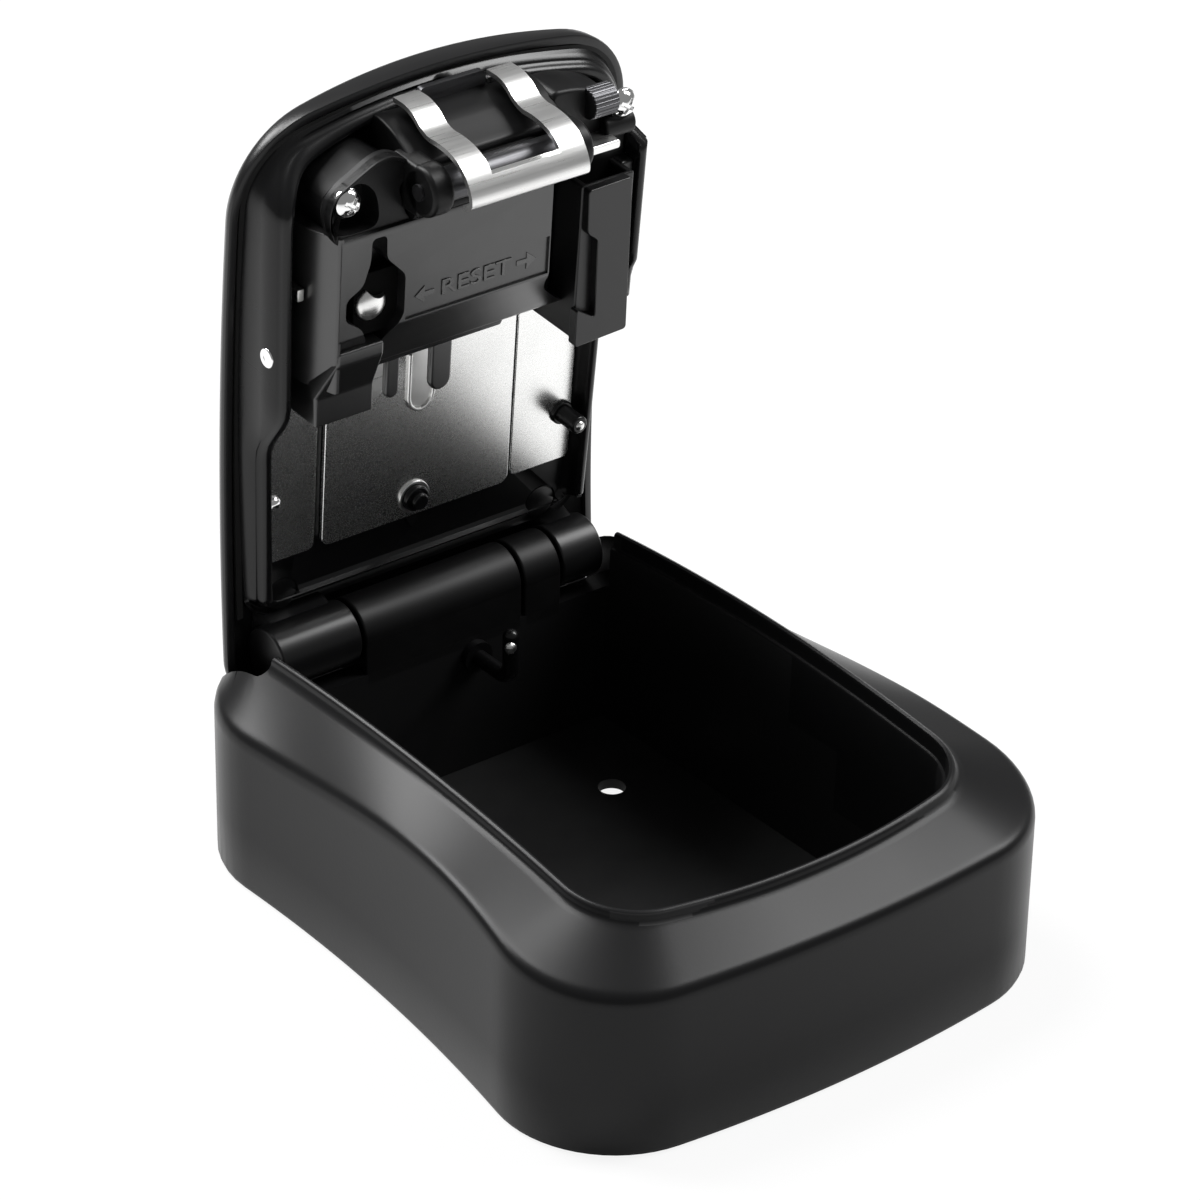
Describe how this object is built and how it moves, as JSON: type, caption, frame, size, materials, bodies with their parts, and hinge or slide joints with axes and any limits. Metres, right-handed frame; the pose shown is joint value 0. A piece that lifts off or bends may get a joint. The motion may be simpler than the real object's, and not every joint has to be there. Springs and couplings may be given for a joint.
{
  "type": "combination key safe",
  "caption": "Wall-mounted key safe with a waisted case, a key well, a hinged lid that carries a dial lock, a sliding dial cover and a spring latch.",
  "frame": {"origin": "middle of the flat back face that goes on the wall, taken half way along the case without the front bow", "axes": "+X across the safe along the hinge, -Y towards the latch end, +Y towards the hinge end, +Z off the wall towards the lid"},
  "size_m": [0.1072, 0.1367, 0.1451],
  "materials": {
    "case_coating": "satin powder coat",
    "lid_coating": "satin powder coat",
    "zinc_plate": "dull zinc plate",
    "screw_steel": "satin",
    "dark_steel": "oiled black",
    "bright_steel": "bright",
    "chrome_screw": "polished",
    "armour_steel": "satin black",
    "seal_rubber": "matt",
    "liner_plastic": "fine texture",
    "housing_plastic": "fine texture",
    "bezel_plastic": "satin",
    "cover_plastic": "fine texture",
    "dial_metal": "satin with black numbers"
  },
  "bodies": {
    "case": {"case_shell": "case_coating", "back_plate": "zinc_plate", "back_plate_screws": "screw_steel", "hinge_pin": "dark_steel", "key_hook": "bright_steel", "strike_plate": "bright_steel"},
    "lid": {"lid_shell": "lid_coating", "lid_seal": "seal_rubber", "lid_liner": "liner_plastic", "armour_left": "armour_steel", "armour_middle": "armour_steel", "armour_right": "armour_steel", "plate_peg": "dark_steel", "guide_post": "dark_steel", "side_screws": "screw_steel", "lock_housing": "housing_plastic", "side_tower": "housing_plastic", "housing_cap": "housing_plastic", "latch_shaft": "dark_steel", "latch_clip": "bright_steel", "link_strip": "bright_steel", "housing_screws": "chrome_screw", "dial_shaft": "bright_steel", "dial_frame": "zinc_plate", "detent_springs": "bright_steel", "dial_bezel": "bezel_plastic", "cover_rails": "bezel_plastic"},
    "release": {"release_slider": "bezel_plastic", "latch_bolt": "bright_steel"},
    "reset": {"reset_lever": "bright_steel"},
    "cover": {"dial_cover": "cover_plastic"},
    "dial_1": {"dial_1": "dial_metal"},
    "dial_2": {"dial_2": "dial_metal"},
    "dial_3": {"dial_3": "dial_metal"},
    "dial_4": {"dial_4": "dial_metal"}
  },
  "joints": [
    {"name": "lid_hinge", "type": "hinge", "parent": "case", "child": "lid", "pos_m": [0, 0.0519, 0.0364], "axis": [1, 0, 0], "range_deg": [0, 86]},
    {"name": "release_slide", "type": "slide", "parent": "lid", "child": "release", "axis": [0, -0.0698, 0.9976], "range_m": [0, 0.0017]},
    {"name": "reset_slide", "type": "slide", "parent": "lid", "child": "reset", "axis": [1, 0, 0], "range_m": [0, 0.0026]},
    {"name": "cover_slide", "type": "slide", "parent": "lid", "child": "cover", "axis": [0, -0.0698, 0.9976], "range_m": [0, 0.036]},
    {"name": "dial_1_turn", "type": "hinge", "parent": "lid", "child": "dial_1", "pos_m": [-0.0108, 0.05284, 0.10899], "axis": [1, 0, 0], "continuous": true},
    {"name": "dial_2_turn", "type": "hinge", "parent": "lid", "child": "dial_2", "pos_m": [-0.0036, 0.05284, 0.10899], "axis": [1, 0, 0], "continuous": true},
    {"name": "dial_3_turn", "type": "hinge", "parent": "lid", "child": "dial_3", "pos_m": [0.0036, 0.05284, 0.10899], "axis": [1, 0, 0], "continuous": true},
    {"name": "dial_4_turn", "type": "hinge", "parent": "lid", "child": "dial_4", "pos_m": [0.0108, 0.05284, 0.10899], "axis": [1, 0, 0], "continuous": true}
  ]
}
